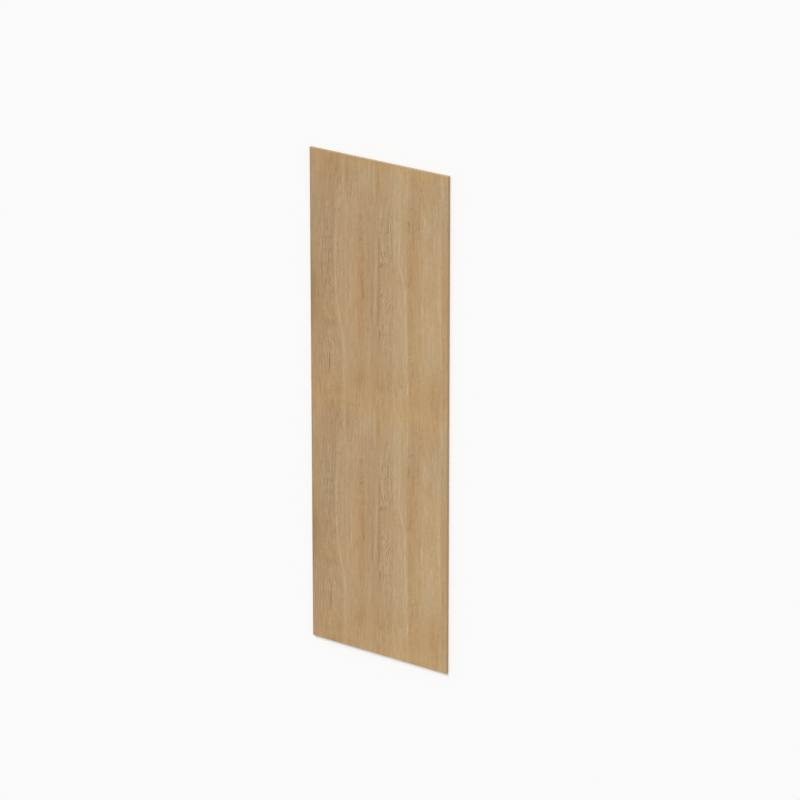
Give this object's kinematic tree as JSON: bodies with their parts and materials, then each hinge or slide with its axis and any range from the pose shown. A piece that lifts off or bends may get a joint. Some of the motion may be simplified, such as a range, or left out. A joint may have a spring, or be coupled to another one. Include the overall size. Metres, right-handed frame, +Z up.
{
  "type": "plywood sheet",
  "caption": "Flat rectangular plywood sheet with an oak face and eased arrises, lying face up; stock to cut, face or line furniture and walls with.",
  "frame": {"origin": "centre of the underside, on the floor that the sheet lies on", "axes": "+Z up out of the oak face, +Y along the face grain and the sheet's length, +X across its width"},
  "size_m": [0.66, 2.032, 0.0127],
  "materials": {
    "oak_plywood": "matte"
  },
  "bodies": {
    "root": {"plywood_sheet": "oak_plywood"}
  },
  "joints": []
}
